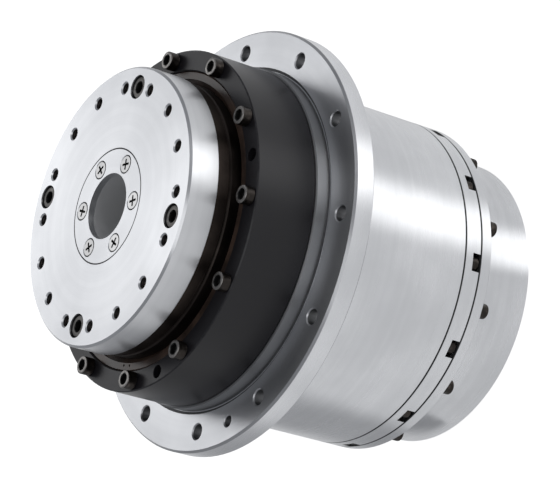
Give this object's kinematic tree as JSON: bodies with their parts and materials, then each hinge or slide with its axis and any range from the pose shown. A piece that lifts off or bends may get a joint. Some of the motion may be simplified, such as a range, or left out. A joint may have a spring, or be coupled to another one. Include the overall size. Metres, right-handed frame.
{
  "type": "hollow-shaft rotary actuator",
  "caption": "Hollow-shaft servo actuator: a frameless motor drives a strain wave gear whose flanged output turns on a crossed roller bearing, with a holding brake and an encoder.",
  "frame": {"origin": "centre of the mounting flange's front face, where the pilot starts", "axes": "+Z along the axis of rotation towards the output, +X through one of the mounting flange's holes"},
  "size_m": [0.196, 0.196, 0.1875],
  "materials": {
    "machined_aluminium": "fine turned and bead-blasted, clear anodised",
    "black_anodised": "satin black anodised",
    "black_screw_steel": "black oxide alloy steel",
    "sleeve_grey": "grey anodised tube",
    "bright_screw_steel": "plated steel",
    "output_steel": "turned steel, plated",
    "bearing_steel": "ground and hardened",
    "gear_steel": "ground alloy steel",
    "shaft_steel": "turned and ground",
    "cage_polymer": "glass-filled polyamide",
    "seal_rubber": "brown-black nitrile",
    "lamination_steel": "stacked laminations, varnished",
    "copper_winding": "enamelled copper wire",
    "magnet_nickel": "nickel-plated magnet",
    "brake_steel": "phosphated steel",
    "friction_lining": "pressed friction material",
    "spring_steel": "spring steel",
    "encoder_glass": "coated glass",
    "board_green": "solder mask",
    "reader_black": "moulded",
    "gland_polymer": "moulded polyamide"
  },
  "bodies": {
    "housing": {"motor_housing": "machined_aluminium", "bearing_housing": "black_anodised", "bearing_housing_screws": "black_screw_steel", "front_seal": "seal_rubber", "bearing_outer_ring_front": "bearing_steel", "bearing_outer_ring_rear": "bearing_steel", "flexspline": "gear_steel", "front_bearing_outer_ring": "bearing_steel", "rear_bearing_outer_ring": "bearing_steel", "front_bearing_cover": "machined_aluminium", "front_bearing_cover_screws": "bright_screw_steel", "oil_seal": "seal_rubber", "stator_core": "lamination_steel", "stator_coils": "copper_winding", "bearing_bracket": "machined_aluminium", "bracket_screws": "black_screw_steel", "preload_washer": "spring_steel", "brake_magnet": "brake_steel", "brake_coil": "copper_winding", "brake_springs": "spring_steel", "brake_end_plate": "brake_steel", "brake_spacers": "bright_screw_steel", "brake_screws": "bright_screw_steel", "encoder_board": "board_green", "encoder_reader": "reader_black", "encoder_standoffs": "bright_screw_steel", "rear_cover": "machined_aluminium", "rear_cover_screws": "black_screw_steel", "rear_seal": "seal_rubber", "cable_glands": "gland_polymer", "cable_gland_nuts": "gland_polymer"},
    "output": {"output_flange": "output_steel", "output_screws": "black_screw_steel", "retaining_plate": "output_steel", "retaining_plate_screws": "bright_screw_steel", "center_sleeve": "sleeve_grey", "circular_spline": "gear_steel", "bearing_inner_ring": "bearing_steel", "nose_seal": "seal_rubber"},
    "roller_train": {"bearing_rollers": "bearing_steel", "roller_separators": "cage_polymer"},
    "rotor": {"rotor_shaft": "shaft_steel", "rotor_core": "lamination_steel", "rotor_magnets": "magnet_nickel", "front_bearing_inner_ring": "bearing_steel", "rear_bearing_inner_ring": "bearing_steel", "wave_plug": "shaft_steel", "wave_plug_screws": "black_screw_steel", "wave_outer_race": "bearing_steel", "wave_inner_race": "bearing_steel", "wave_balls": "bearing_steel", "brake_hub": "shaft_steel", "brake_disc": "friction_lining", "encoder_hub": "machined_aluminium", "encoder_disc": "encoder_glass"},
    "front_ball_train": {"front_bearing_balls": "bearing_steel", "front_bearing_cage": "cage_polymer"},
    "rear_ball_train": {"rear_bearing_balls": "bearing_steel", "rear_bearing_cage": "cage_polymer"},
    "armature": {"brake_armature": "brake_steel"}
  },
  "joints": [
    {"name": "output_turn", "type": "hinge", "parent": "housing", "child": "output", "pos_m": [0, 0, 0.01885], "axis": [0, 0, 1], "continuous": true},
    {"name": "roller_train_turn", "type": "hinge", "parent": "housing", "child": "roller_train", "pos_m": [0, 0, 0.01885], "axis": [0, 0, 1], "continuous": true},
    {"name": "rotor_turn", "type": "hinge", "parent": "housing", "child": "rotor", "pos_m": [0, 0, -0.0075], "axis": [0, 0, 1], "continuous": true, "deforming": ["flexspline"]},
    {"name": "front_ball_train_turn", "type": "hinge", "parent": "housing", "child": "front_ball_train", "pos_m": [0, 0, -0.0075], "axis": [0, 0, 1], "continuous": true},
    {"name": "rear_ball_train_turn", "type": "hinge", "parent": "housing", "child": "rear_ball_train", "pos_m": [0, 0, -0.0806], "axis": [0, 0, 1], "continuous": true},
    {"name": "brake_release", "type": "slide", "parent": "housing", "child": "armature", "axis": [0, 0, 1], "range_m": [0, 0.0003], "stiffness_N_per_m": 20000, "springref_m": -0.003, "deforming": ["brake_springs"]}
  ],
  "couplings": [
    {"joint": "rotor_turn", "follows": "output_turn", "ratio": 51},
    {"joint": "roller_train_turn", "follows": "output_turn", "ratio": 0.48324},
    {"joint": "front_ball_train_turn", "follows": "output_turn", "ratio": 22.783},
    {"joint": "rear_ball_train_turn", "follows": "output_turn", "ratio": 22.783}
  ]
}
